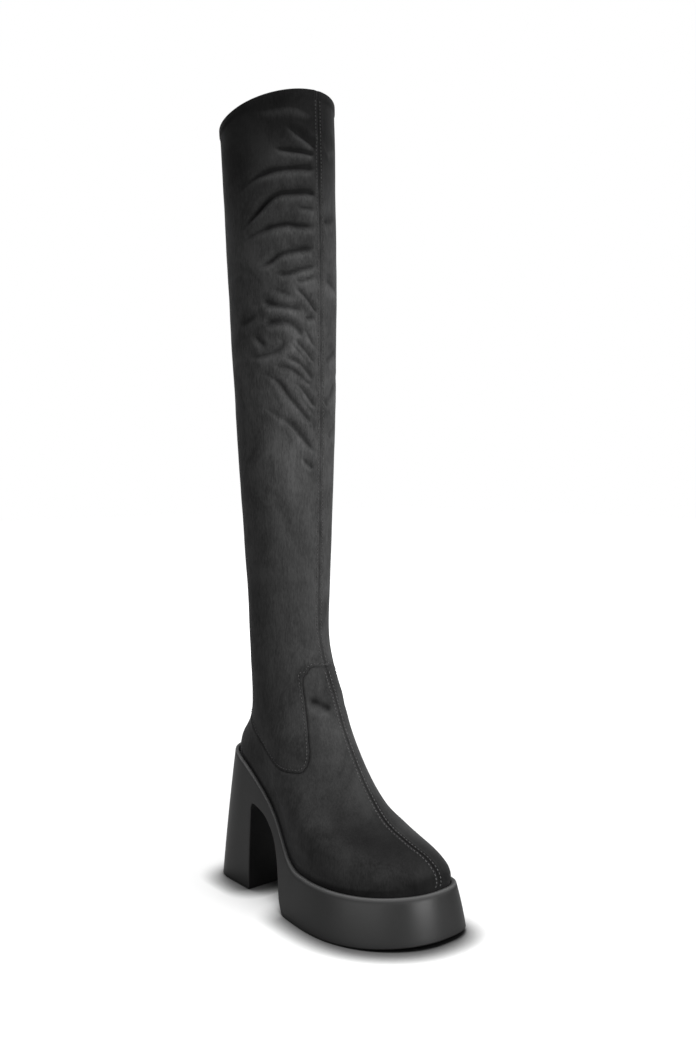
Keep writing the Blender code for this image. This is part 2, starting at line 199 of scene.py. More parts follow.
# Folds of the suede. Each is a soft trough with its half width, its depth, the share over which a
# free end fades, and the places it passes through, by the angle from the front (positive on the
# outer side) and the height.
FOLDS = {}
FOLDS["shaft"] = (
    (5.0, 1.7, 0.40, (71, 638), (53, 641), (32, 644), (16, 642), (3, 638)),
    (2.8, 2.6, 0.35, (37, 626), (24, 620), (15, 615), (4, 609)),
    (2.9, 2.6, 0.40, (50, 608), (32, 606), (5, 604)),
    (3.6, 2.8, 0.40, (92, 574), (70, 585), (53, 590), (37, 592), (20, 593), (4, 593)),
    (3.6, 3.1, 0.28, (94, 541), (72, 555), (56, 567), (44, 572), (30, 573), (14, 574), (4, 572)),
    (2.4, 0.8, 0.35, (28, 562), (19, 561), (6, 561)),
    (3.8, 2.7, 0.40, (96, 531), (70, 542), (54, 546), (38, 548), (24, 547), (4, 548)),
    (3.2, 2.6, 0.30, (75, 513), (58, 518), (46, 524), (31, 527), (5, 531)),
    (3.0, 2.2, 0.30, (54, 509), (40, 509), (27, 512), (6, 516)),
    (2.2, 1.5, 0.20, (30, 503), (20, 504), (8, 507)),
    (2.0, 1.9, 0.20, (30, 498), (18, 490), (5, 478)),
    (4.0, 1.1, 0.40, (62, 498), (42, 494), (29, 488)),
    (3.6, 2.6, 0.20, (68, 489), (56, 485), (41, 483), (18, 480)),
    (2.6, 1.9, 0.20, (20, 474), (16, 474), (8, 475)),
    (3.6, 3.2, 0.16, (67, 470), (54, 471), (41, 471), (30, 466), (21, 457)),
    (5.0, 1.1, 0.40, (102, 469), (85, 473), (70, 477)),
    (3.0, 1.4, 0.25, (78, 461), (70, 455), (64, 452)),
    (3.4, 1.5, 0.35, (50, 460), (45, 453), (53, 447), (72, 444), (91, 443)),
    (2.2, 1.2, 0.30, (22, 466), (16, 460), (9, 451)),
    (2.4, 1.8, 0.30, (33, 458), (22, 449), (9, 438)),
    (2.2, 1.3, 0.30, (36, 454), (28, 447), (14, 435)),
    (2.7, 2.8, 0.40, (52, 443), (36, 441), (24, 436), (9, 423)),
    (2.8, 1.7, 0.35, (62, 437), (44, 435), (32, 431), (12, 419)),
    (2.8, 2.4, 0.60, (78, 431), (63, 428), (50, 421), (41, 411), (28, 401), (11, 388)),
    (2.2, 1.8, 0.30, (32, 422), (22, 415), (8, 402)),
    (2.2, 1.0, 0.35, (29, 413), (20, 405), (10, 396)),
    (3.0, 2.3, 0.80, (76, 405), (64, 400), (50, 394), (37, 388), (23, 377), (6, 365)),
    (2.2, 1.2, 0.35, (27, 363), (18, 357), (10, 353)),
    (4.5, 0.7, 0.30, (-14, 378), (-22, 383), (-34, 390)),
    (5.5, 1.2, 0.30, (-6, 404), (-19, 412), (-32, 426)),
    (4.5, 0.9, 0.30, (-8, 439), (-18, 444), (-34, 451)),
    (4.5, 0.8, 0.30, (-9, 506), (-20, 502), (-36, 497)),
    (4.2, 0.8, 0.50, (-5, 552), (-16, 553), (-40, 560)),
    (4.5, 0.7, 0.40, (-9, 612), (-20, 615), (-40, 622)),
    (5.5, 0.9, 0.45, (-44, 590), (-78, 574), (-112, 540), (-130, 516)),
    (5.0, 0.8, 0.45, (-58, 546), (-84, 533), (-106, 512)),
    (5.2, 0.9, 0.45, (-40, 494), (-70, 490), (-104, 470), (-124, 448)),
    (4.6, 0.7, 0.45, (-62, 452), (-86, 446), (-104, 432)),
    (4.6, 0.7, 0.45, (-36, 430), (-58, 424), (-84, 404)))
FOLDS["upper"] = (
    (5.4, 0.9, 0.25, (38, 167), (25, 164), (10, 159)),
    (3.6, 0.6, 0.40, (-62, 166), (-44, 160), (-28, 153)))
FOLD_STEPS = 90
HEIGHT_STEPS = 600
# A fold fades fast where it ends at the front seam
SEAM_END_DEGREES = 15.0
SEAM_END_FADE = 0.12
# Section of a fold in half widths and depths: its reach, the ridges beside it and its trough
FOLD_REACH = 4.0
FOLD_TAPER = 0.45
RIDGE_PLACE = 1.9
RIDGE_WIDTH = 1.25
RIDGE_ABOVE = 0.50
RIDGE_BELOW = 0.40
FOLD_DEEPEN = 0.95
FOLD_SHARP = 1.5
FOLD_CORE = 0.78
# Levels over which the shaft's relief calms down below the collar, and the foot's above the rim
COLLAR_CALM = 0.25
RIM_CALM = 0.6

# Painted light and shade on the suede: raised folds get painted highlights, troughs and the collar
# painted shade
TONE_LIGHT_ATTRIBUTE = "tone_and_light"
# Value of tone and painted light from which the colour changes, and its factors there and where it
# is palest
TONE_AND_LIGHT_FACTORS = (-1.0, 0.20, 1.80)
# Factors of the painted highlight along the sole's rim
RIM_HIGHLIGHT_FACTORS = (0.45, 1.0, 6.5)
# The sole's rim is duller where its highlight is painted, and its ledge takes less of the painted
# highlight than its edge
RIM_DULL = 0.50
LEDGE_HIGHLIGHT = 0.40
# Painted shade darkens a trough over its upper side, and a painted highlight lies on the ridge just
# below it
SHADE_DEPTH = 1.3
SHADE_ABOVE = 1.00
SHADE_BELOW = 0.64
SHADE_SHARP = 1.5
SOFT_SHARE = 0.45
CORE_WIDTH = 0.46
CORE_SHARE = 0.68
PALE_PLACE = 1.5
PALE_WIDTH = 0.8
PALE_SHARE = 0.62
# Painted shade in the grooves of the seams, the join's darkest low down, a darker hem, and painted
# shade below the collar and along the lower edge above the rim
RIDGE_SHADE = 0.45
JOIN_SHADE = (0.50, 0.24)
JOIN_SHADE_LEVELS = (7.0, 8.4)
SEAM_SHADE_WIDTH = 1.2
HEM_DARK = 0.5
COLLAR_SHADE = 1.0
COLLAR_SHADE_LEVEL = 14.8
COLLAR_SHADE_RUN = 1.2
EDGE_SHADE = 0.9
EDGE_SHADE_RUN = 0.9

# Where the suede lies paler or darker, partly its own pile and partly painted light and shade:
# middle in degrees from the front and in levels, and reach
PILE_AND_LIGHT_PATCHES = {}
PILE_AND_LIGHT_PATCHES["shaft"] = table(
    "angle level angle_reach level_reach change",
    (45, 13.7, 48, 1.0, 0.65),
    (36, 13.3, 16, 0.4, 0.15),
    (-18, 13.0, 22, 2.2, 0.35),
    (25, 14.2, 22, 0.6, 0.30),
    (30, 15.52, 20, 0.14, 0.50),
    (85, 9.8, 40, 1.3, -0.22),
    (-8, 15.8, 32, 0.5, -0.45))
PILE_AND_LIGHT_PATCHES["upper"] = table(
    "angle level angle_reach level_reach change",
    (5, 4.6, 48, 2.4, -0.80),
    (-20, 3.0, 25, 1.6, -0.35),
    (36, 5.3, 22, 1.0, -0.40),
    (22, 1.8, 45, 0.9, -0.70),
    (0, 1.8, 14, 0.8, -0.40),
    (26, 8.2, 14, 0.6, 0.35),
    (30, 8.90, 8, 0.11, -0.42),
    (16, 8.73, 8, 0.12, -0.50),
    (88, 5.0, 26, 2.4, 0.45))

# Soft unevenness of worn-in suede: size of the swells and how far they rise
SWELLS = {"shaft": ((46.0, 0.55), (17.0, 0.16)), "upper": ((40.0, 0.30), (14.0, 0.10))}

# Closed seams: a groove along the join with puffed edges, and the rows of stitches beside it
RIDGE_SEAM = {
    "groove_width": 0.9, "groove_depth": 0.60,
    "puff_place": 3.0, "puff_width": 1.8, "puff_height": 0.30}
JOIN_SEAM = {
    "groove_width": 0.9, "groove_depth": 0.40,
    "puff_place": 2.6, "puff_width": 1.6, "puff_height": 0.15}
STITCH_OFFSET = 2.4
STITCH_TRACK_WIDTH = 0.6
STITCH_TRACK_DEPTH = 0.32
STITCH = {"Pitch": 3.0, "Length": 2.0, "Thickness": 0.8}
# The thread is darker up the shaft and paler on the foot
THREAD_DARK = 0.85
THREAD_DARK_FROM = 300.0
THREAD_DARK_RUN = 260.0
VAMP_THREAD_PALER = 0.6
# A stitch is a bead of diameter 1, drawn out to its length and thickness
BEAD_RADIUS = 0.5
STITCH_SIDES = 6
STITCH_RINGS = 4
STITCH_LIFT = 0.3
STITCH_LINE_STEPS = 700
TOE_STITCH_LEVEL = 1.35
THROAT_STITCH_LEVEL = 9.62
JOIN_START = math.radians(2.0)

# Insole: how far each loop is drawn in, and its height over the cup's floor
INSOLE_STEPS = 120
INSOLE_PROFILE = (
    (0.0, 0.0), (0.0, 2.2), (0.25, 2.7),
    (0.9, INSOLE_THICK), (9.0, INSOLE_THICK), (18.0, INSOLE_THICK))

# Lower edge of the lining in the foot
LINING_FOOT_LEVEL = 1.2

# Patterns of the finishes: each noise has its shares in the tone and the height, its stretch along
# x, y and z, and its form
EVEN = (1.0, 1.0, 1.0)
HANGING = (1.0, 1.0, 0.24)
PATTERNS = {
    "suede_nap": {
        "Patch": ({"Tone": 0.50}, EVEN, {"Detail": 4.0, "Roughness": 0.55, "Distortion": 0.9}),
        "Stroke": ({"Tone": 0.16, "Height": 0.35}, HANGING, {
            "Detail": 5.0, "Roughness": 0.6, "Distortion": 0.4}),
        "Fibre": ({"Tone": 0.34, "Height": 0.65}, HANGING, {"Detail": 3.0, "Roughness": 0.7})},
    "fine_grain": {
        "Cloud": ({"Tone": 0.75}, EVEN, {"Detail": 3.0, "Roughness": 0.5}),
        "Grain": ({"Tone": 0.25, "Height": 1.0}, EVEN, {"Detail": 2.0, "Roughness": 0.6})}}

# Finishes: pattern and sizes of its noises, greys at two places of its tone, roughness at both
# ends of it, depth and strength of the bump, shader's plain values, and tone and painted light
SUEDE = {
    "pattern": "suede_nap", "sizes": {"Patch": 22.0, "Stroke": 150.0, "Fibre": 800.0},
    "greys": ((0.39, 0.014), (0.61, 0.038)), "roughness": (0.95, 0.80), "bump": (0.4, 0.45),
    "plain": {"Specular IOR Level": 0.06, "Sheen Weight": 0.08, "Sheen Roughness": 0.45,
              "Sheen Tint": (0.75, 0.75, 0.77, 1.0)},
    "tone_and_light_factors": TONE_AND_LIGHT_FACTORS}
FINISHES = {
    "shaft_suede": SUEDE,
    "upper_suede": {
        **SUEDE, "sizes": {**SUEDE["sizes"], "Patch": 28.0},
        "greys": ((0.39, 0.014), (0.61, 0.034))},
    "sole_rubber": {
        "pattern": "fine_grain", "sizes": {"Cloud": 12.0, "Grain": 1300.0},
        "greys": ((0.30, 0.009), (0.70, 0.016)), "roughness": (0.32, 0.42),
        "bump": (0.15, 0.20), "plain": {"Specular IOR Level": 0.36},
        "tone_and_light_factors": RIM_HIGHLIGHT_FACTORS, "dulled": RIM_DULL},
    "knit_lining": {
        "pattern": "fine_grain", "sizes": {"Cloud": 30.0, "Grain": 700.0},
        "greys": ((0.30, 0.020), (0.70, 0.040)), "roughness": (0.95, 0.85),
        "bump": (0.4, 0.5), "plain": {"Specular IOR Level": 0.2}},
    "insole_cloth": {
        "pattern": "fine_grain", "sizes": {"Cloud": 25.0, "Grain": 600.0},
        "greys": ((0.30, 0.022), (0.70, 0.045)), "roughness": (0.95, 0.80),
        "bump": (0.4, 0.6), "plain": {"Specular IOR Level": 0.3}},
    "seam_thread": {
        "pattern": "fine_grain", "sizes": {"Cloud": 60.0, "Grain": 2500.0},
        "greys": ((0.30, 0.018), (0.70, 0.040)), "roughness": (0.65, 0.50),
        "bump": (0.2, 0.4), "plain": {"Specular IOR Level": 0.4}, "tone_and_light_factors": TONE_AND_LIGHT_FACTORS}}

# Camera of the photograph in millimetres, and the floor and lights round the boot in metres
CAMERA_PLACE = (677.317, -581.277, 355.344)
CAMERA_FORWARD = (-0.74433, 0.66566, -0.05359)
CAMERA_LENS = 38.191
CAMERA_SENSOR = 36.0
WHITE = (1.0, 1.0, 1.0, 1.0)
FLOOR_SIZE = 12.0
FLOOR_DROP = 0.0002
FLOOR_PLAIN = {"Roughness": 0.9, "Specular IOR Level": 0.0, "Emission Color": WHITE}
BACKDROP_STRENGTH = 1.0
SURROUND_STRENGTH = 0.20
FLOOR_TONE = 0.85
FLOOR_BOUNCE = 0.20
# Painted contact shadow: the floor darkens close to the sole, more in front of it than behind it
CONTACT_REACH = 0.022
CONTACT_POWER = 3.0
CONTACT_LEAST = 0.50
CONTACT_LEAN = (-0.77, 0.49, 0.0)
# Share of the floor's paleness that shows in glossy surfaces
FLOOR_MIRRORED = 0.2
# Far from the boot the floor glows up to the white of the backdrop
FLOOR_GLOW = 0.92
FLOOR_GLOW_FROM = 0.45
FLOOR_GLOW_FULL = 1.20
BOOT_MIDDLE = (0.0, 0.0, 0.30)
# Soft lights: direction from the boot, distance, width, height, power, and what each one lights
SOFT_LIGHTS = {
    "key_light": ((0.98, 0.10, 0.06), 1.05, 0.40, 0.7, 20.0, "suede"),
    "low_light": ((0.98, 0.12, 0.06), 1.05, 0.55, 0.7, 10.5, "sole"),
    "top_light": ((-0.10, 0.10, 1.00), 1.5, 1.1, 1.1, 32.0, "boot"),
    "side_light": ((0.34, -0.94, 0.22), 1.45, 2.0, 0.9, 7.0, "boot"),
    "back_light": ((-0.62, -0.76, 0.12), 1.5, 1.4, 0.9, 2.5, "suede"),
    "panel_light": ((0.22, -0.97, 0.06), 1.4, 1.5, 0.8, 6.5, "sole"),
    "far_light": ((-0.74, 0.67, 0.15), 1.6, 2.4, 1.0, 14.0, "suede"),
    "floor_light": ((0.05, 0.0, 1.00), 1.6, 1.4, 1.4, 55.0, "floor")}


def along(rows, column, at):
    """Smooth curve through one column of a table; each row's slope is set by its neighbours."""
    stations = next(iter(rows.values()))
    values = rows[column]
    spans = np.diff(stations)
    rises = np.diff(values) / spans
    slopes = np.concatenate((
        rises[:1],
        (rises[:-1] * spans[1:] + rises[1:] * spans[:-1]) / (spans[:-1] + spans[1:]),
        rises[-1:]))
    at = np.clip(at, stations[0], stations[-1])
    row = np.clip(np.searchsorted(stations, at) - 1, 0, len(spans) - 1)
    span = spans[row]
    part = (at - stations[row]) / span
    rest = 1.0 - part
    return (values[row] * rest * rest * (1.0 + 2.0 * part)
            + values[row + 1] * part * part * (3.0 - 2.0 * part)
            + span * part * rest * (slopes[row] * rest - slopes[row + 1] * part))


def rounded(run, power):
    """Rounded end: 0 at the tip, 1 where the run is over."""
    left = 1.0 - np.clip(run, 0.0, 1.0)
    return (1.0 - left ** power) ** (1.0 / power)


def smooth(part):
    """Soft step from 0 to 1."""
    part = np.clip(part, 0.0, 1.0)
    return part * part * (3.0 - 2.0 * part)


def bump(distance, width):
    """Bell of height 1."""
    return np.exp(-(distance / width) ** 2)


def toe_spring(x):
    """Height of the sole's underside over the floor."""
    return SPRING_RISE * np.clip((x - SPRING_START_X) / SPRING_RUN, 0.0, None) ** 2


def plan_edges(plan, inset, x):
    """Lateral and medial edge of a plan at a station, drawn in by inset."""
    ends = PLAN_ENDS[plan]
    cap = (rounded((ends["toe"] - inset - x) / (ends["toe_run"] - inset), ends["toe_power"])
           * rounded((x - ends["heel"] - inset) / (ends["heel_run"] - inset), ends["heel_power"]))
    middle = along(PLANS[plan], "centre", x)
    lateral = middle - (along(PLANS[plan], "lateral", x) - inset) * cap
    medial = middle + (along(PLANS[plan], "medial", x) - inset) * cap
    return lateral, medial


def plan_points(plan, inset, angle):
    """Plan points at the given angles of a loop drawn in by inset."""
    heel = PLAN_ENDS[plan]["heel"] + inset
    toe = PLAN_ENDS[plan]["toe"] - inset
    x = heel + (toe - heel) * (1.0 + np.cos(angle)) / 2.0
    lateral, medial = plan_edges(plan, inset, x)
    return x, np.where(np.sin(angle) >= 0.0, lateral, medial)


def rim_points(inset, rise, angle):
    """Points along the rim's line, drawn in by inset and moved up by rise."""
    x, y = plan_points("rim", inset, angle)
    return np.stack((x, y, along(RIM_SIDE, "height", x) + rise), axis=-1)


def floor_points(angle):
    """Points along the print on the floor, lifted by the toe spring."""
    x, y = plan_points("floor", 0.0, angle)
    return np.stack((x, y, toe_spring(x)), axis=-1)


def outer_face(angle, level):
    """Outer face above the sole: angle 0 on the front ridge, half a turn on the back line."""
    ring = {name: along(RINGS, name, level) for name in RINGS}
    share = (1.0 - np.cos(angle)) / 2.0
    x = ring["front_x"] + (ring["back_x"] - ring["front_x"]) * share
    z = ring["front_z"] + (ring["back_z"] - ring["front_z"]) * share
    first = {name: values[0] for name, values in RINGS.items()}
    bed_x = first["front_x"] + (first["back_x"] - first["front_x"]) * share
    bed_z = along(RIM_SIDE, "height", bed_x) - RIM_DEPTH + BED_GAP
    z = z + ring["sag"] * (bed_z - first["front_z"] - (first["back_z"] - first["front_z"]) * share)
    front = ring["front_x"] - x
    back = x - ring["back_x"]
    cap = (rounded(front / ring["front_run"], along(FRONT_ROUND, "power", level))
           * rounded(back / ring["back_run"], BACK_POWER))
    room = ring["front_x"] - ring["back_x"] - ring["front_run"] - ring["back_run"]
    mix = smooth((front - ring["front_run"] - room / 2.0) / np.maximum(room, MIX_RUN) + 0.5)
    plan = np.clip((RIM_LEVEL + PLAN_LEVELS - level) / PLAN_LEVELS, 0.0, 1.0)
    middle = along(PLANS["rim"], "centre", x)
    middle = middle + (along(RIDGE_LINE, "centre", x) - middle) * ring["ridge"]
    half = {}
    for side, short in (("lateral", "lat"), ("medial", "med")):
        own = ring["front_" + short] + (ring["back_" + short] - ring["front_" + short]) * mix
        rim = along(PLANS["rim"], side, x) - RIM_WIDTH - FIT_GAP
        half[side] = (own + (rim - own) * plan) * cap
    y = np.where(np.sin(angle) >= 0.0, middle - half["lateral"], middle + half["medial"])
    return np.stack((x, y, z), axis=-1)


def unit(vectors):
    """Vectors of length 1."""
    return vectors / np.linalg.norm(vectors, axis=-1, keepdims=True)


def climbing(angle, level):
    """Unit direction along the outer face from one ring to the next."""
    low = np.maximum(level - SLOPE_STEP, 0.0)
    high = np.minimum(level + SLOPE_STEP, COLLAR_LEVEL)
    return unit(outer_face(angle, high) - outer_face(angle, low))


def outward(angle, level):
    """Unit normal of the outer face."""
    turn = outer_face(angle + SLOPE_STEP, level) - outer_face(angle - SLOPE_STEP, level)
    return unit(np.cross(climbing(angle, level), turn))


def from_front(angle):
    """Angle from the front ridge, positive on the outer side and negative on the inner."""
    return (angle + math.pi) % FULL_TURN - math.pi


def seam_level(angle):
    """Level of the seam between foot upper and shaft, the same on both sides."""
    return along(SEAM, "level", np.degrees(np.abs(from_front(angle))))


def seam_gap(angle):
    """Difference in level that leaves the fit's gap square to the seam."""
    level = seam_level(angle)
    run = unit(outer_face(angle + SLOPE_STEP, seam_level(angle + SLOPE_STEP))
               - outer_face(angle - SLOPE_STEP, seam_level(angle - SLOPE_STEP)))
    climb = outer_face(angle, level + SLOPE_STEP) - outer_face(angle, level - SLOPE_STEP)
    climb = climb / (2.0 * SLOPE_STEP)
    square = climb - run * np.sum(climb * run, axis=-1, keepdims=True)
    return FIT_GAP / np.linalg.norm(square, axis=-1)


def levels_at(angles, heights):
    """Levels at which the lines of the angles on the outer face reach the heights."""
    levels = np.linspace(RIM_LEVEL, COLLAR_LEVEL, HEIGHT_STEPS)
    climbs = outer_face(angles[:, None], levels[None, :])[..., 2]
    return np.array([np.interp(height, climb, levels) for height, climb in zip(heights, climbs)])


def through(places, steps):
    """Even curve through places, as rows of points along it."""
    places = np.array(places, float)
    padded = np.concatenate((
        2.0 * places[:1] - places[1:2], places, 2.0 * places[-1:] - places[-2:-1]))
    at = np.linspace(0.0, len(places) - 1.0, steps)
    first = np.minimum(at.astype(int), len(places) - 2)
    part = (at - first)[:, None]
    before, start, end, after = (padded[first + k] for k in range(4))
    return start + 0.5 * part * (end - before + part * (
        2.0 * before - 5.0 * start + 4.0 * end - after
        + part * (3.0 * (start - end) + after - before)))


@functools.cache
def fold_lines(place):
    """Folds of a place: half width, depth, fading along the trough, and points along it."""
    part = np.linspace(0.0, 1.0, FOLD_STEPS)
    laid = []
    for width, depth, fade, *places in FOLDS[place]:
        ends = [SEAM_END_FADE if abs(angle) < SEAM_END_DEGREES else fade
                for angle, _ in (places[0], places[-1])]
        angles, heights = through(places, FOLD_STEPS).T
        angles = np.radians(angles)
        fading = smooth(part / ends[0]) * smooth((1.0 - part) / ends[1])
        laid.append((width, depth, fading, outer_face(angles, levels_at(angles, heights))))
    return laid


def folded(points, place):
    """Rise of the folds at points of the outer face, and their painted shade and highlights there.
    """
    rise = np.zeros(points.shape[:-1])
    tone_and_light = np.zeros(points.shape[:-1])
    for width, depth, fading, line in fold_lines(place):
        reach = FOLD_REACH * width
        near = np.all((points > line.min(axis=0) - reach)
                      & (points < line.max(axis=0) + reach), axis=-1)
        if not near.any():
            continue
        apart = points[near][:, None, :] - line
        distances = np.linalg.norm(apart, axis=-1)
        nearest = distances.argmin(axis=-1)
        pick = np.arange(len(nearest))
        fade = fading[nearest]
        across = distances[pick, nearest] * np.sign(apart[pick, nearest, 2])
        across /= width * (FOLD_TAPER + (1.0 - FOLD_TAPER) * fade)
        profile = (RIDGE_ABOVE * bump(across - RIDGE_PLACE, RIDGE_WIDTH)
                   + RIDGE_BELOW * bump(across + RIDGE_PLACE, RIDGE_WIDTH)
                   - np.exp(-np.abs(across / FOLD_CORE) ** FOLD_SHARP))
        rise[near] += FOLD_DEEPEN * depth * fade * profile
        side = np.where(across > 0.0, SHADE_ABOVE, SHADE_BELOW)
        shade = (PALE_SHARE * bump(across + PALE_PLACE, PALE_WIDTH)
                 - SOFT_SHARE * np.exp(-np.abs(across / side) ** SHADE_SHARP)
                 - CORE_SHARE * bump(across, CORE_WIDTH))
        tone_and_light[near] += math.tanh(depth / SHADE_DEPTH) * fade * shade
    return rise, tone_and_light


def pile_and_light_patches(angle, level, place):
    """How much paler or darker the suede lies, partly its own pile and partly painted light and
    shade.
    """
    turn = np.degrees(from_front(angle))
    change = np.zeros(np.shape(level))
    for middle, height, reach, rise, amount in zip(*PILE_AND_LIGHT_PATCHES[place].values()):
        change += amount * bump(turn - middle, reach) * bump(level - height, rise)
    return change


def relief(angle, level, place):
    """Rise of the folds, and of a soft unevenness with swells of several sizes."""
    points = outer_face(angle, level)
    rise = folded(points, place)[0]
    flat = points.reshape(-1, 3)
    for size, height in SWELLS[place]:
        values = [noise.noise(Vector(point)) for point in flat / size]
        rise += height * np.array(values).reshape(rise.shape)
    return rise


def from_ridge(angle, level):
    """Distance from the front ridge."""
    ridge = outer_face(np.zeros_like(angle), level)
    return np.linalg.norm(outer_face(angle, level) - ridge, axis=-1)


def from_join(angle, level):
    """Distance from the seam between foot upper and shaft, positive on the shaft."""
    return (level - seam_level(angle)) / seam_gap(angle) * FIT_GAP


def seam_form(distance, form):
    """Rise beside a seam: a groove on the join, puffed edges, and the track of the stitches."""
    apart = np.abs(distance)
    return (form["puff_height"] * bump(apart - form["puff_place"], form["puff_width"])
            - form["groove_depth"] * bump(apart, form["groove_width"])
            - STITCH_TRACK_DEPTH * bump(distance - STITCH_OFFSET, STITCH_TRACK_WIDTH))


def seams(angle, level):
    """Rise of the seam along the front ridge and of the join between foot upper and shaft."""
    return (seam_form(from_ridge(angle, level), RIDGE_SEAM)
            + seam_form(from_join(angle, level), JOIN_SEAM))


def seam_shade(angle, level):
    """Painted shade in the grooves of the seams: how much darker the suede is there."""
    join = np.interp(level, JOIN_SHADE_LEVELS, JOIN_SHADE)
    return np.maximum(RIDGE_SHADE * bump(from_ridge(angle, level), SEAM_SHADE_WIDTH),
                      join * bump(from_join(angle, level), SEAM_SHADE_WIDTH))


def hem_rise(level):
    """Rise of the turned hem below the collar."""
    below = (COLLAR_LEVEL - level) * LEVEL_HEIGHT
    return HEM_STEP * smooth((HEM_HEIGHT + HEM_EDGE - below) / HEM_EDGE)


def shaft_rise(angle, level):
    """How far the shaft's suede stands off the plain outer face."""
    calm = smooth((COLLAR_LEVEL - level) / COLLAR_CALM)
    return relief(angle, level, "shaft") * calm + seams(angle, level) + hem_rise(level)


def upper_rise(angle, level):
    """How far the foot's suede stands off the plain outer face; nothing inside the sole's cup."""
    calm = smooth((level - RIM_LEVEL) / RIM_CALM)
    return (relief(angle, level, "upper") + seams(angle, level)) * calm


def pile_and_painted_light(face, angle, level, place):
    """Painted light and shade of folds and seams, with patches that are partly the suede's own
    pile.
    """
    return folded(face, place)[1] + pile_and_light_patches(angle, level, place) - seam_shade(angle, level)


def once_round(lateral, medial):
    """Values once round, from those of the two sides, which share both ends."""
    return np.concatenate((lateral, medial[-2:0:-1]))


def columns():
    """Angles once round, close together at the front seam and where the join seam runs steeply."""
    front = FRONT_DEGREES * np.linspace(0.0, 1.0, FRONT_COLUMNS + 1) ** FRONT_GRADE
    half = [front]
    for start, end, count in COLUMN_SPANS:
        half.append(np.linspace(start, end, count + 1)[1:])
    half = np.radians(np.concatenate(half))
    return once_round(half, FULL_TURN - half)


def bands(lower, upper, steps):
    """Faces between two loops of the same number of points, given by their first indices."""
    return [(lower + k, upper + k, upper + (k + 1) % steps, lower + (k + 1) % steps)
            for k in range(steps)]


def shown(name, data):
    """Object with its data, in the scene."""
    item = bpy.data.objects.new(name, data)
    bpy.context.scene.collection.objects.link(item)
    return item


def traced(name, points, edges, faces):
    """Mesh object in the scene, from points in millimetres."""
    mesh = bpy.data.meshes.new(name)
    placed = (np.asarray(points) - (ORIGIN_X, ORIGIN_Y, 0.0)) * MM
    mesh.from_pydata(placed.tolist(), edges, faces)
    return shown(name, mesh)


def piece(name, points, faces, material):
    """Smooth piece with a material."""
    item = traced(name, points, [], faces)
    item.data.materials.append(material)
    item.data.shade_smooth()
    item.data.update()
    return item


def keep_tone_and_light(mesh, tone_and_light):
    """Keeps the tone and painted light of each point of a mesh, for its material."""
    mesh.attributes.new(TONE_LIGHT_ATTRIBUTE, "FLOAT", "POINT").data.foreach_set("value", np.ravel(tone_and_light))


def closed_wall(name, outside, inside, material, tone_and_light=None):
    """Closed wall from rows of points on its two sides; rub is the tone and painted light of the
    outer points.
    """
    steps = outside.shape[1]
    rows = np.concatenate((outside, inside[::-1]))
    faces = []
    for row in range(len(rows)):
        faces += bands(row * steps, (row + 1) % len(rows) * steps, steps)
    item = piece(name, rows.reshape(-1, 3), faces, material)
    if tone_and_light is not None:
        values = np.zeros(rows.shape[:-1])
        values[:len(tone_and_light)] = tone_and_light
        keep_tone_and_light(item.data, values)
    return item


def lowest(rise):
    """Lowest rise within a stride of the inner side's rows."""
    padded = np.pad(rise, ((INNER_STRIDE, INNER_STRIDE), (0, 0)), mode="edge")
    return np.min([padded[k:k + len(rise)] for k in range(2 * INNER_STRIDE + 1)], axis=0)


def inner_rows(levels):
    """Rows of the outer side that the inner side keeps."""
    return np.append(np.arange(0, len(levels) - 1, INNER_STRIDE), len(levels) - 1)


def graded(start, end, count):
    """Rows from one level to another, closer together at the start."""
    part = np.linspace(0.0, 1.0, count)[:, None] ** EDGE_GRADE
    return start + (end - start) * part


def shaft_levels(angle):
    """Levels of the shaft's rows from the seam to below the lip of the hem."""
    top = COLLAR_LEVEL - HEM_LIP / LEVEL_HEIGHT
    low = seam_level(angle) + seam_gap(angle) / 2.0
    rows = [graded(low, np.full_like(angle, ANKLE_TOP_LEVEL), ANKLE_ROWS)]
    spans = ((ANKLE_TOP_LEVEL, CALF_TOP_LEVEL, CALF_ROWS), (CALF_TOP_LEVEL, top, KNEE_ROWS))
    for start, end, count in spans:
        even = np.linspace(start, end, count)[1:, None]
        rows.append(np.broadcast_to(even, (count - 1, len(angle))))
    return np.concatenate(rows)


def upper_levels(angle):
    """Levels of the foot upper's rows from the cup's floor to the seam."""
    high = seam_level(angle) - seam_gap(angle) / 2.0
    climb = 1.0 - graded(0.0, 1.0, UPPER_ROWS)[::-1]
    return np.concatenate((np.zeros((1, len(angle))), RIM_LEVEL + (high - RIM_LEVEL) * climb))


def suede_rows(levels, rise_at):
    """Angles, plain outer face, normals and the suede's rise at rows of levels once round."""
    angles = np.broadcast_to(columns(), levels.shape)
    return angles, outer_face(angles, levels), outward(angles, levels), rise_at(angles, levels)


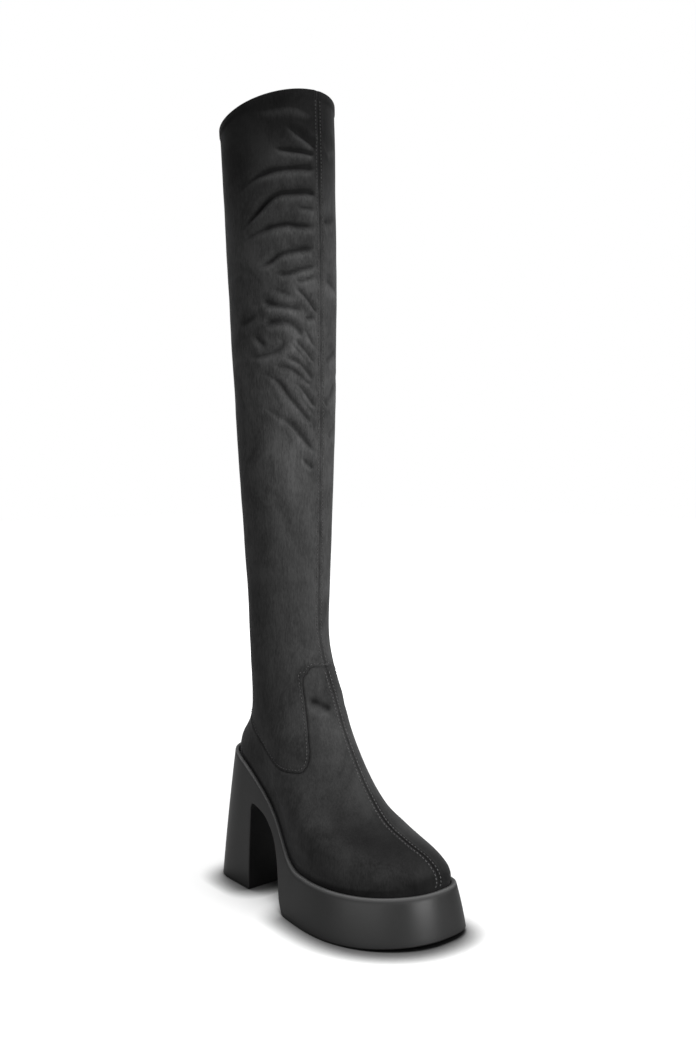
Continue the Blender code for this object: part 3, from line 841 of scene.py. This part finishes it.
def shaft_cover(material):
    """Suede of the shaft from the seam to the rounded lip of its turned hem."""
    angle = columns()
    levels = shaft_levels(angle)
    angles, face, normals, rise = suede_rows(levels, shaft_rise)
    outside = face + normals * rise[..., None]
    # Painted shade and highlights of folds and seams, the pile's patches, painted shade below the
    # collar, and a darker hem
    tone_and_light = (pile_and_painted_light(face, angles, levels, "shaft")
           - COLLAR_SHADE * smooth((levels - COLLAR_SHADE_LEVEL) / COLLAR_SHADE_RUN)
           - HEM_DARK / HEM_STEP * hem_rise(levels))
    depth = lowest(rise - hem_rise(levels)) - SUEDE_THICK
    inside = (face + normals * depth[..., None])[inner_rows(levels)]
    turns = np.linspace(0.0, math.pi, LIP_STEPS)[1:-1, None, None]
    middle = (outside[-1] + inside[-1]) / 2.0
    edge = (middle + (outside[-1] - inside[-1]) / 2.0 * np.cos(turns)
            + climbing(angle, levels[-1]) * HEM_LIP * np.sin(turns))
    return closed_wall("shaft_cover", np.concatenate((outside, edge)), inside, material, tone_and_light)


def upper_cover(material):
    """Suede of the foot from the sole's cup to the seam."""
    levels = upper_levels(columns())
    angles, face, normals, rise = suede_rows(levels, upper_rise)
    inside = (face + normals * (lowest(rise) - SUEDE_THICK)[..., None])[inner_rows(levels)]
    # Painted shade and highlights of folds and seams, the pile's patches, and painted shade along
    # the lower edge above the rim
    tone_and_light = (pile_and_painted_light(face, angles, levels, "upper")
           - EDGE_SHADE * (1.0 - smooth((levels - RIM_LEVEL) / EDGE_SHADE_RUN)))
    return closed_wall("upper_cover", face + normals * rise[..., None], inside, material, tone_and_light)


def lining(material):
    """Knit lining behind the suede, from the insole to under the turned hem."""
    angle = columns()
    top = COLLAR_LEVEL - HEM_INSIDE / LEVEL_HEIGHT
    outside, inside = [], []
    for levels, rise_at in ((upper_levels(angle), upper_rise), (shaft_levels(angle), shaft_rise)):
        _, face, normals, rise = suede_rows(levels, rise_at)
        depth = lowest(rise) - SUEDE_THICK - LINING_GAP
        kept = inner_rows(levels)
        kept = kept[(levels[kept].min(axis=1) > LINING_FOOT_LEVEL)
                    & (levels[kept].max(axis=1) < top)]
        outside.append((face + normals * depth[..., None])[kept])
        inside.append(outside[-1] - normals[kept] * LINING_THICK)
    return closed_wall("lining", np.concatenate(outside), np.concatenate(inside), material)


def wall_place(x, z):
    """Angle and climb of the point of the sole's side at x and z in the side view."""
    rim, floor = PLAN_ENDS["rim"], PLAN_ENDS["floor"]
    rim_length = rim["toe"] - rim["heel"]
    floor_length = floor["toe"] - floor["heel"]
    share = (x - floor["heel"]) / floor_length
    for _ in range(SETTLE_STEPS):
        foot = toe_spring(floor["heel"] + floor_length * share)
        climb = (z - foot) / (along(RIM_SIDE, "height", rim["heel"] + rim_length * share) - foot)
        share = ((x - floor["heel"] * (1.0 - climb) - rim["heel"] * climb)
                 / (floor_length * (1.0 - climb) + rim_length * climb))
    return np.arccos(np.clip(2.0 * share - 1.0, -1.0, 1.0)), climb


def wall_points(angle, climb):
    """Points of the sole's flared side: climb 0 on the floor print, 1 on the rim's outer edge."""
    climb = np.asarray(climb)
    foot = floor_points(angle)
    points = foot + (rim_points(0.0, 0.0, angle) - foot) * climb[..., None]
    ahead = floor_points(angle + SLOPE_STEP) - floor_points(angle - SLOPE_STEP)
    away = unit(np.cross(ahead, (0.0, 0.0, 1.0)))
    return points - away * (SIDE_SWELL * 4.0 * climb * (1.0 - climb))[..., None]


def spread(marks, step):
    """The marks with even values between them, no further apart than step."""
    values = [marks[:1]]
    for start, end in zip(marks[:-1], marks[1:]):
        count = max(1, math.ceil(abs(end - start) / step))
        values.append(np.linspace(start, end, count + 1)[1:])
    return np.concatenate(values)


def groove_edges(part):
    """Stations where the grooves of the heel or the forefoot begin and end, from the toe back."""
    start, pitch, count = TREAD[part]
    backs = start + pitch * np.arange(count)
    return np.sort(np.concatenate((backs, backs + GROOVE_WIDTH)))[::-1]


def arch_line():
    """Side view of the arch, in even steps from behind the ball to the top of the breast."""
    stations = np.linspace(ARCH_SIDE["station"][-1], ARCH_SIDE["station"][0], CURVE_SAMPLES)
    heights = along(ARCH_SIDE, "height", stations)
    clear = heights > 0.0
    x = np.append(stations[clear], BREAST_TOP_X)
    z = np.append(heights[clear], BREAST_TOP_Z)
    length = np.concatenate(((0.0,), np.cumsum(np.hypot(np.diff(x), np.diff(z)))))
    even = np.linspace(0.0, length[-1], ARCH_COLUMNS + 1)
    return np.interp(even, length, x), np.interp(even, length, z), even / length[-1]


class SoleMesh:
    """Points of the sole with the share of the edge rounding that each may take, and its faces."""

    def __init__(self):
        self.points = []
        self.shares = []
        self.faces = []

    def add(self, rows, share):
        """Adds points and gives their indices in the same layout."""
        rows = np.asarray(rows)
        first = len(self.points)
        self.points += rows.reshape(-1, 3).tolist()
        count = len(self.points) - first
        self.shares += [share] * count
        return np.arange(first, first + count).reshape(rows.shape[:-1])

    def soften(self, indices, share):
        """Sets the rounding's share of points."""
        for index in np.ravel(indices):
            self.shares[index] = share

    def face(self, *loop):
        """Adds the face round a loop of indices, without the repeated ones."""
        kept = [index for k, index in enumerate(loop) if index != loop[k - 1]]
        if len(kept) > 2:
            self.faces.append(tuple(kept))

    def strip(self, low, high):
        """Faces between two rows of indices."""
        for k in range(len(low) - 1):
            self.face(low[k], high[k], high[k + 1], low[k + 1])

    def tread(self, lateral, medial, edges):
        """Underside between the edge points of both sides, grooved between pairs of stations."""
        stations = [self.points[index][0] for index in lateral]
        inner, outer = edges[-1] - GROOVE_SLACK, edges[0] + GROOVE_SLACK
        pairs = list(zip(edges[::2], edges[1::2]))
        borders = {}
        for k, x in enumerate(stations):
            if inner < x < outer:
                sides = plan_edges("floor", GROOVE_BORDER, np.array(x))
                flat = [(x, float(y), float(toe_spring(x))) for y in sides]
                if sides[1] - sides[0] < GROOVE_SLACK:
                    flat = flat[:1]
                deep = [(x, y, z + GROOVE_DEPTH) for x, y, z in flat]
                sunk = any(back - GROOVE_SLACK < x < front + GROOVE_SLACK for front, back in pairs)
                rows = [self.add(row, SHARE_GROOVE) for row in (flat, deep)[:1 + sunk]]
                borders[k] = [(row[0], row[-1]) for row in rows] + [None] * (not sunk)
        first, last = min(borders), max(borders)
        self.face(*lateral[:first + 1], *borders[first][0], *medial[first::-1])
        self.face(*lateral[last:], *medial[:last - 1:-1], *borders[last][0][::-1])
        for k in range(first, last):
            (flat_a, deep_a), (flat_b, deep_b) = borders[k], borders[k + 1]
            middle = (stations[k] + stations[k + 1]) / 2.0
            self.face(lateral[k], lateral[k + 1], flat_b[0], flat_a[0])
            self.face(flat_a[1], flat_b[1], medial[k + 1], medial[k])
            if any(back < middle < front for front, back in pairs):
                self.face(deep_a[0], deep_b[0], deep_b[1], deep_a[1])
                self.face(flat_a[0], flat_b[0], deep_b[0], deep_a[0])
                self.face(deep_a[1], deep_b[1], flat_b[1], flat_a[1])
                if any(abs(stations[k] - front) < GROOVE_SLACK for front, _ in pairs):
                    self.face(flat_a[0], deep_a[0], deep_a[1], flat_a[1])
                if any(abs(stations[k + 1] - back) < GROOVE_SLACK for _, back in pairs):
                    self.face(flat_b[0], flat_b[1], deep_b[1], deep_b[0])
            else:
                self.face(flat_a[0], flat_b[0], flat_b[1], flat_a[1])


def sole_body(material):
    """Moulded platform and block heel with softened edges, cup, arch and tread."""
    arch_x, arch_z, arch_part = arch_line()
    arch_angle, arch_climb = wall_place(arch_x, arch_z)
    ball_edges = groove_edges("forefoot")
    ball_angle = wall_place(ball_edges, toe_spring(ball_edges))[0]
    ball = spread(np.concatenate(((0.0,), ball_angle, arch_angle[:1])), SOLE_TURN)
    breast_z = np.linspace(0.0, BREAST_TOP_Z, HEEL_ROWS + 1)
    breast_x = BREAST_FOOT_X + (BREAST_TOP_X - BREAST_FOOT_X) * breast_z / BREAST_TOP_Z
    edge_angle, edge_climb = wall_place(breast_x, breast_z)
    heel_edges = groove_edges("heel")
    heel_angle = wall_place(heel_edges, 0.0)[0]
    heel = spread(np.concatenate((edge_angle[:1], heel_angle, (math.pi,))), SOLE_TURN)
    heel_part = (heel - heel[0]) / (math.pi - heel[0])
    lean = (edge_angle[-1] - edge_angle[0]) / edge_climb[-1]
    rim_edge = edge_angle[-1] + lean * (1.0 - edge_climb[-1])

    foot_angle = np.concatenate((
        ball, arch_angle[1:], edge_angle[-1] + (math.pi - edge_angle[-1]) * heel_part[1:]))
    foot_climb = np.concatenate((
        np.zeros_like(ball), arch_climb[1:], np.full(len(heel) - 1, edge_climb[-1])))
    rim_angle = np.concatenate((
        ball, ball[-1] + (rim_edge - ball[-1]) * arch_part[1:],
        rim_edge + (math.pi - rim_edge) * heel_part[1:]))
    arch_first = len(ball) - 1
    breast = arch_first + ARCH_COLUMNS
    back = len(foot_angle) - 1
    foot_angle = once_round(foot_angle, FULL_TURN - foot_angle)
    rim_angle = once_round(rim_angle, FULL_TURN - rim_angle)
    foot_climb = once_round(foot_climb, foot_climb)
    steps = len(foot_angle)
    part = np.linspace(0.0, 1.0, BAND_ROWS + 1)[:, None]
    sole = SoleMesh()
    wall = sole.add(wall_points(
        foot_angle + (rim_angle - foot_angle) * part,
        foot_climb + (1.0 - foot_climb) * part), SHARE_FLOOR)
    ledge = sole.add(rim_points(RIM_WIDTH, 0.0, rim_angle), SHARE_CUP)
    bed = sole.add(rim_points(RIM_WIDTH, -RIM_DEPTH, rim_angle), SHARE_CUP)
    sole.soften(wall[-1], SHARE_RIM)
    for low, high in zip((*wall[:-1], wall[-1], ledge), (*wall[1:], ledge, bed)):
        sole.strip(np.append(low, low[0]), np.append(high, high[0]))

    mirrored = -np.arange(steps) % steps
    for k in range(back):
        sole.face(bed[k + 1], bed[k], bed[mirrored[k]], bed[mirrored[k + 1]])

    turn = edge_angle[:-1, None] + (math.pi - edge_angle[:-1, None]) * heel_part
    turn = np.concatenate((turn, FULL_TURN - turn[:, -2::-1]), axis=1)
    climb = np.broadcast_to(edge_climb[:-1, None], turn.shape)
    block = sole.add(wall_points(turn, climb), SHARE_FLOOR)
    block = np.concatenate((block, wall[:1, breast:steps - breast + 1]))
    for low, high in zip(block[:-1], block[1:]):
        sole.strip(low, high)
    sole.strip(block[:, 0], block[:, -1])
    sole.soften(block[:, (0, -1)], SHARE_BREAST)

    lateral, medial = wall[0], wall[0][mirrored]
    for k in range(arch_first, breast):
        sole.face(lateral[k], lateral[k + 1], medial[k + 1], medial[k])
    arch = slice(arch_first, breast + 1)
    sole.soften((lateral[arch], medial[arch]), SHARE_ARCH)
    sole.tread(lateral[:len(ball)], medial[:len(ball)], ball_edges)
    sole.tread(block[0][:len(heel)], block[0][::-1][:len(heel)], heel_edges)
    body = piece("sole_body", sole.points, sole.faces, material)
    # Painted highlight along the rim's outer edge, weaker on its ledge
    tone_and_light = np.zeros(len(sole.points))
    tone_and_light[wall[-1]] = 1.0
    tone_and_light[ledge] = LEDGE_HIGHLIGHT
    keep_tone_and_light(body.data, tone_and_light)
    return softened(body, sole.shares)


def softened(item, shares):
    """Rounds the sharp outer edges of a piece, each by the share that its points allow."""
    form = bmesh.new()
    form.from_mesh(item.data)
    weights = form.edges.layers.float.new("bevel_weight_edge")
    for edge in form.edges:
        if edge.is_manifold and edge.calc_face_angle_signed() > EDGE_ANGLE:
            edge[weights] = min(shares[vertex.index] for vertex in edge.verts)
    form.to_mesh(item.data)
    form.free()
    rounding = item.modifiers.new("rounding", "BEVEL")
    rounding.limit_method = "WEIGHT"
    rounding.width = EDGE_ROUND * MM
    rounding.segments = EDGE_SEGMENTS
    rounding.use_clamp_overlap = False
    shading = item.modifiers.new("shading", "WEIGHTED_NORMAL")
    shading.keep_sharp = True
    return item


def lid(first, steps, up):
    """Faces that close a loop by strips from its lateral to its medial points."""
    half = steps // 2
    faces = [(first, first + steps - 1, first + 1)]
    for k in range(1, half - 1):
        faces.append((first + k + 1, first + k, first + steps - k, first + steps - k - 1))
    faces.append((first + half, first + half - 1, first + half + 1))
    return faces if up else [face[::-1] for face in faces]


def insole_cover(material):
    """Cloth-covered insole with a rounded upper edge."""
    angle = np.arange(INSOLE_STEPS) * FULL_TURN / INSOLE_STEPS
    inset = RIM_WIDTH + FIT_GAP + WALL + INSOLE_GAP
    loops = [rim_points(inset + draw, BED_GAP - RIM_DEPTH + rise, angle)
             for draw, rise in INSOLE_PROFILE]
    faces = lid(0, INSOLE_STEPS, False)
    for k in range(len(loops) - 1):
        faces += bands(k * INSOLE_STEPS, (k + 1) * INSOLE_STEPS, INSOLE_STEPS)
    faces += lid((len(loops) - 1) * INSOLE_STEPS, INSOLE_STEPS, True)
    return piece("insole_cover", np.concatenate(loops), faces, material)


def thread_line(angles, levels, rise):
    """Line of a row of stitches on the suede, half sunk in its track."""
    lift = rise(angles, levels) + STITCH["Thickness"] * STITCH_LIFT
    return outer_face(angles, levels) + outward(angles, levels) * lift[..., None]


def ridge_lines(low, high, rise):
    """The two rows of stitches beside the front seam, between two levels."""
    levels = np.linspace(low, high, STITCH_LINE_STEPS)
    trial = np.radians(np.linspace(0.0, 2.0 * FRONT_DEGREES, CURVE_SAMPLES))
    angles = np.array([
        np.interp(STITCH_OFFSET, from_ridge(trial, level), trial) for level in levels])
    return [thread_line(side * angles, levels, rise) for side in (1.0, -1.0)]


def beside_join(angle):
    """Level of the row of stitches on the shaft beside the join."""
    return seam_level(angle) + STITCH_OFFSET / FIT_GAP * seam_gap(angle)


def shaft_lines():
    """The two rows beside the shaft's front seam, and the row round the join with the foot."""
    top = COLLAR_LEVEL - (HEM_HEIGHT + HEM_EDGE + STITCH["Length"]) / LEVEL_HEIGHT
    angles = np.linspace(JOIN_START, FULL_TURN - JOIN_START, STITCH_LINE_STEPS)
    return [*ridge_lines(beside_join(np.zeros(1))[0], top, shaft_rise),
            thread_line(angles, beside_join(angles), shaft_rise)]


def connect(tree, inputs, values):
    """Sets inputs of a node by name, and links those that are given a socket."""
    for name, value in values.items():
        if isinstance(value, bpy.types.NodeSocket):
            tree.links.new(value, inputs[name])
        else:
            inputs[name].default_value = value


def add(tree, kind, values=None, **settings):
    """Outputs of a new node with its settings and input values."""
    item = tree.nodes.new(kind)
    for name, value in settings.items():
        setattr(item, name, value)
    connect(tree, item.inputs, values or {})
    return item.outputs


def calc(tree, operation, *values):
    """Result of a math node."""
    return add(tree, "ShaderNodeMath", dict(enumerate(values)), operation=operation)[0]


def ranged(tree, value, low, high, start=0.0, end=1.0):
    """Value that runs from low to high while another runs from start to end."""
    return add(tree, "ShaderNodeMapRange", {
        "Value": value, "From Min": start, "From Max": end, "To Min": low, "To Max": high})[0]


def new_tree(name, kind, inputs, outputs):
    """Empty node group with named sockets of the kinds given; gives the tree and its inputs."""
    tree = bpy.data.node_groups.new(name, kind)
    for side, sockets in (("INPUT", inputs), ("OUTPUT", outputs)):
        for label, socket in sockets.items():
            tree.interface.new_socket(label, in_out=side, socket_type="NodeSocket" + socket)
    return tree, tree.nodes.new("NodeGroupInput").outputs


def stitch_tree():
    """Geometry nodes that lay short rounded stitches along lines."""
    tree, given = new_tree(
        "stitch_rows", "GeometryNodeTree",
        {"Lines": "Geometry", **dict.fromkeys(STITCH, "Float"), "Thread": "Material"},
        {"Stitches": "Geometry"})
    curves = add(tree, "GeometryNodeMeshToCurve", {"Mesh": given["Lines"]})[0]
    spaced = add(tree, "GeometryNodeResampleCurve", {
        "Curve": curves, "Length": given["Pitch"]}, mode="LENGTH")[0]
    bead = add(tree, "GeometryNodeMeshUVSphere", {
        "Segments": STITCH_SIDES, "Rings": STITCH_RINGS, "Radius": BEAD_RADIUS})[0]
    size = add(tree, "ShaderNodeCombineXYZ", {
        "X": given["Thickness"], "Y": given["Thickness"], "Z": given["Length"]})[0]
    stitch = add(tree, "GeometryNodeTransform", {"Geometry": bead, "Scale": size})[0]
    tangent = add(tree, "GeometryNodeInputTangent")[0]
    turn = add(tree, "FunctionNodeAlignRotationToVector", {"Vector": tangent}, axis="Z")[0]
    laid = add(tree, "GeometryNodeInstanceOnPoints", {
        "Points": spaced, "Instance": stitch, "Rotation": turn})[0]
    real = add(tree, "GeometryNodeRealizeInstances", {"Geometry": laid})[0]
    soft = add(tree, "GeometryNodeSetShadeSmooth", {"Geometry": real})[0]
    dressed = add(tree, "GeometryNodeSetMaterial", {
        "Geometry": soft, "Material": given["Thread"]})[0]
    add(tree, "NodeGroupOutput", {"Stitches": dressed})
    return tree


def stitches(name, lines, tree, material, paler=0.0):
    """Rows of stitches along lines, as one plain mesh."""
    edges = []
    first = 0
    for line in lines:
        edges += [(k, k + 1) for k in range(first, first + len(line) - 1)]
        first += len(line)
    guide = traced(name + "_lines", np.concatenate(lines), edges, [])
    rows = guide.modifiers.new("stitch_rows", "NODES")
    rows.node_group = tree
    values = {**{key: size * MM for key, size in STITCH.items()}, "Thread": material}
    for socket in tree.interface.items_tree:
        if socket.in_out == "INPUT" and socket.name in values:
            rows[socket.identifier] = values[socket.name]
    graph = bpy.context.evaluated_depsgraph_get()
    plain = bpy.data.meshes.new_from_object(guide.evaluated_get(graph), depsgraph=graph)
    plain.name = name
    bpy.data.objects.remove(guide, do_unlink=True)
    places = np.zeros(3 * len(plain.vertices))
    plain.vertices.foreach_get("co", places)
    climb = smooth((places[2::3] / MM - THREAD_DARK_FROM) / THREAD_DARK_RUN)
    keep_tone_and_light(plain, paler - THREAD_DARK * climb)
    return shown(name, plain)


def pattern(name):
    """Shader group that mixes noises, with their sizes as inputs, into a tone and a height."""
    tree, sizes = new_tree(
        name, "ShaderNodeTree",
        dict.fromkeys(PATTERNS[name], "Float"), {"Tone": "Float", "Height": "Float"})
    place = add(tree, "ShaderNodeTexCoord")["Object"]
    sums = {}
    for label, (shares, stretch, form) in PATTERNS[name].items():
        spot = add(tree, "ShaderNodeMapping", {"Vector": place, "Scale": stretch})[0]
        value = add(tree, "ShaderNodeTexNoise", {"Vector": spot, "Scale": sizes[label], **form})[0]
        for output, share in shares.items():
            sums[output] = calc(tree, "MULTIPLY_ADD", value, share, sums.get(output, 0.0))
    add(tree, "NodeGroupOutput", sums)
    return tree


def finish(name, look, patterns):
    """Material with colour, roughness and bump from its pattern, and plain values on its shader."""
    material = bpy.data.materials.new(name)
    material.use_nodes = True
    nodes = material.node_tree
    effect = add(nodes, "ShaderNodeGroup", look["sizes"], node_tree=patterns[look["pattern"]])
    colour = add(nodes, "ShaderNodeValToRGB", {"Fac": effect["Tone"]})["Color"]
    for stop, (place, grey) in zip(colour.node.color_ramp.elements, look["greys"]):
        stop.position = place
        stop.color = (grey, grey, grey, 1.0)
    rough = ranged(nodes, effect["Tone"], *look["roughness"])
    depth, strength = look["bump"]
    bumps = add(nodes, "ShaderNodeBump", {
        "Height": effect["Height"], "Distance": depth * MM, "Strength": strength})[0]
    # Colour scaled by each point's tone and painted light; where given, a painted highlight also
    # dulls the roughness
    if "tone_and_light_factors" in look:
        tone_and_light = add(nodes, "ShaderNodeAttribute", attribute_name=TONE_LIGHT_ATTRIBUTE)["Fac"]
        start, least, most = look["tone_and_light_factors"]
        paler = ranged(nodes, tone_and_light, least, most, start)
        colour = add(nodes, "ShaderNodeVectorMath", {
            0: colour, "Scale": paler}, operation="SCALE")[0]
        if "dulled" in look:
            rough = calc(nodes, "MULTIPLY_ADD", tone_and_light, look["dulled"], rough)
    connect(nodes, nodes.nodes["Principled BSDF"].inputs, {
        "Base Color": colour, "Roughness": rough, "Normal": bumps, **look["plain"]})
    return material


def floor_finish():
    """Pale floor with a painted contact shadow close to the sole, melting into the backdrop far
    away.
    """
    material = bpy.data.materials.new("pale_floor")
    material.use_nodes = True
    nodes = material.node_tree
    rays = add(nodes, "ShaderNodeLightPath")
    seen = rays["Is Camera Ray"]
    paleness = calc(nodes, "MULTIPLY_ADD", rays["Is Glossy Ray"], FLOOR_MIRRORED, seen)
    tone = ranged(nodes, paleness, FLOOR_BOUNCE, FLOOR_TONE)
    upward = add(nodes, "ShaderNodeNewGeometry")["True Normal"]
    leaning = add(nodes, "ShaderNodeVectorMath", {0: upward, 1: CONTACT_LEAN}, operation="ADD")[0]
    # Painted contact shadow: occlusion leaned forward darkens the floor's colour near the sole
    near = add(nodes, "ShaderNodeAmbientOcclusion", {
        "Distance": CONTACT_REACH, "Normal": leaning})["AO"]
    near = calc(nodes, "POWER", calc(nodes, "MAXIMUM", near, CONTACT_LEAST), CONTACT_POWER)
    place = add(nodes, "ShaderNodeTexCoord")["Object"]
    away = add(nodes, "ShaderNodeVectorMath", {0: place}, operation="LENGTH")["Value"]
    glow = ranged(nodes, away, 0.0, FLOOR_GLOW, FLOOR_GLOW_FROM, FLOOR_GLOW_FULL)
    connect(nodes, nodes.nodes["Principled BSDF"].inputs, {
        "Base Color": calc(nodes, "MULTIPLY", tone, near),
        "Emission Strength": calc(nodes, "MULTIPLY", glow, seen), **FLOOR_PLAIN})
    return material


def surroundings():
    """White backdrop as the camera sees it, and a dimmer glow all round the boot."""
    world = bpy.data.worlds.new("studio")
    world.use_nodes = True
    nodes = world.node_tree
    seen = add(nodes, "ShaderNodeLightPath")["Is Camera Ray"]
    connect(nodes, nodes.nodes["Background"].inputs, {
        "Color": WHITE, "Strength": ranged(nodes, seen, SURROUND_STRENGTH, BACKDROP_STRENGTH)})
    return world


def stage(boot):
    """Pale floor, white surroundings, soft lights and the camera of the photograph."""
    scene = bpy.context.scene
    scene.world = surroundings()
    half = FLOOR_SIZE / 2.0
    corners = ((-half, -half), (half, -half), (half, half), (-half, half))
    mesh = bpy.data.meshes.new("floor")
    mesh.from_pydata([(x, y, -FLOOR_DROP) for x, y in corners], [], [(0, 1, 2, 3)])
    mesh.materials.append(floor_finish())
    floor = shown("floor", mesh)
    sole = [item for item in boot if item.name == "sole_body"]
    suede = [item for item in boot if item not in sole]
    lit = {}
    for name, items in (("boot", boot), ("suede", suede), ("sole", sole), ("floor", [floor])):
        lit[name] = bpy.data.collections.new(name)
        for item in items:
            lit[name].objects.link(item)
    for name, (direction, distance, width, height, power, reached) in SOFT_LIGHTS.items():
        light = bpy.data.lights.new(name, "AREA")
        light.shape = "RECTANGLE"
        light.size = width
        light.size_y = height
        light.energy = power
        lamp = shown(name, light)
        away = Vector(direction).normalized()
        lamp.location = Vector(BOOT_MIDDLE) + away * distance
        lamp.rotation_euler = away.to_track_quat("Z", "Y").to_euler()
        lamp.visible_camera = False
        lamp.light_linking.receiver_collection = lit[reached]
    view = bpy.data.cameras.new("camera")
    view.lens = CAMERA_LENS
    view.sensor_width = CAMERA_SENSOR
    camera = shown("camera", view)
    camera.location = Vector(CAMERA_PLACE) * MM
    camera.rotation_euler = Vector(CAMERA_FORWARD).to_track_quat("-Z", "Y").to_euler()
    scene.camera = camera
    scene.view_settings.view_transform = "Standard"


def main():
    """Builds the pieces, the light, the floor and the camera."""
    patterns = {name: pattern(name) for name in PATTERNS}
    looks = {name: finish(name, look, patterns) for name, look in FINISHES.items()}
    tree = stitch_tree()
    thread = looks["seam_thread"]
    vamp = ridge_lines(TOE_STITCH_LEVEL, THROAT_STITCH_LEVEL, upper_rise)
    boot = []
    for item, node, slot in (
            (shaft_cover(looks["shaft_suede"]), "shaft", "shaft_suede"),
            (upper_cover(looks["upper_suede"]), "foot_upper", "upper_suede"),
            (sole_body(looks["sole_rubber"]), "sole_unit", "sole_rubber"),
            (insole_cover(looks["insole_cloth"]), "insole", "insole_cloth"),
            (lining(looks["knit_lining"]), None, "insole_cloth"),
            (stitches("shaft_stitches", shaft_lines(), tree, thread), None, "shaft_suede"),
            (stitches("vamp_stitches", vamp, tree, thread, VAMP_THREAD_PALER),
             None, "upper_suede")):
        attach(item, "root")
        if node:
            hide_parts(node)
        boot.append(item)
    stage(boot)


main()
